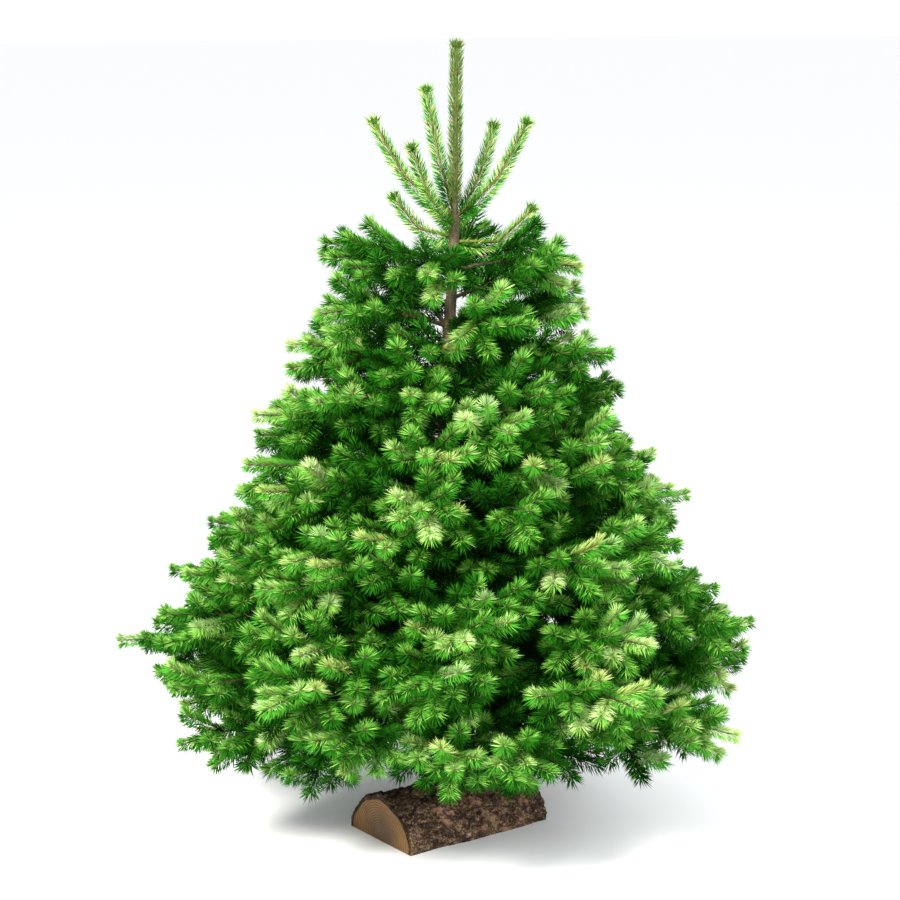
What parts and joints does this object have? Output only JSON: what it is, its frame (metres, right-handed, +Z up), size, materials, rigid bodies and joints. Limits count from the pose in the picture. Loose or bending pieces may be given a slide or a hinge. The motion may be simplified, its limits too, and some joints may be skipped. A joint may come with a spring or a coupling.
{
  "type": "christmas tree",
  "caption": "Cut fir, full and conical, with tiers of needled boughs round one straight trunk and upright shoots at its top. Its foot is set in a half log that lies flat side down.",
  "frame": {"origin": "middle of the half log's sawn underside, under the trunk", "axes": "+Z up the trunk, +X along the half log's length"},
  "size_m": [0.8574, 0.9256, 1.15],
  "materials": {
    "needles": "satin green needles",
    "fresh_needles": "satin yellow-green needles",
    "trunk_bark": "smooth grey-brown bark",
    "bough_bark": "smooth yellow-brown bark",
    "log_wood": "sawn wood with growth rings",
    "log_bark": "rough scaly bark"
  },
  "bodies": {
    "root": {"bough_lower_1": "bough_bark", "bough_lower_2": "bough_bark", "bough_lower_3": "bough_bark", "bough_lower_4": "bough_bark", "bough_lower_5": "bough_bark", "bough_lower_6": "bough_bark", "candle_1": "fresh_needles", "candle_2": "fresh_needles", "candle_3": "fresh_needles", "candle_4": "fresh_needles", "candle_5": "fresh_needles", "candle_6": "fresh_needles", "candle_7": "fresh_needles", "frond_eighth_1": "needles", "frond_eighth_2": "needles", "frond_eighth_3": "needles", "frond_eighth_4": "needles", "frond_fifth_1": "needles", "frond_fifth_2": "needles", "frond_fifth_3": "needles", "frond_fifth_4": "needles", "frond_fifth_5": "needles", "frond_fourth_1": "needles", "frond_fourth_2": "needles", "frond_fourth_3": "needles", "frond_fourth_4": "needles", "frond_fourth_5": "needles", "frond_lower_1": "needles", "frond_lower_2": "needles", "frond_lower_3": "needles", "frond_lower_4": "needles", "frond_lower_5": "needles", "frond_lower_6": "needles", "frond_ninth_1": "needles", "frond_ninth_2": "needles", "frond_ninth_3": "needles", "frond_ninth_4": "needles", "frond_seventh_1": "needles", "frond_seventh_2": "needles", "frond_seventh_3": "needles", "frond_seventh_4": "needles", "frond_sixth_1": "needles", "frond_sixth_2": "needles", "frond_sixth_3": "needles", "frond_sixth_4": "needles", "frond_skirt_1": "needles", "frond_skirt_2": "needles", "frond_skirt_3": "needles", "frond_skirt_4": "needles", "frond_skirt_5": "needles", "frond_skirt_6": "needles", "frond_third_1": "needles", "frond_third_2": "needles", "frond_third_3": "needles", "frond_third_4": "needles", "frond_third_5": "needles", "leader_needles": "fresh_needles", "log_bark": "log_bark", "log_wood": "log_wood", "trunk": "trunk_bark"}
  },
  "joints": []
}
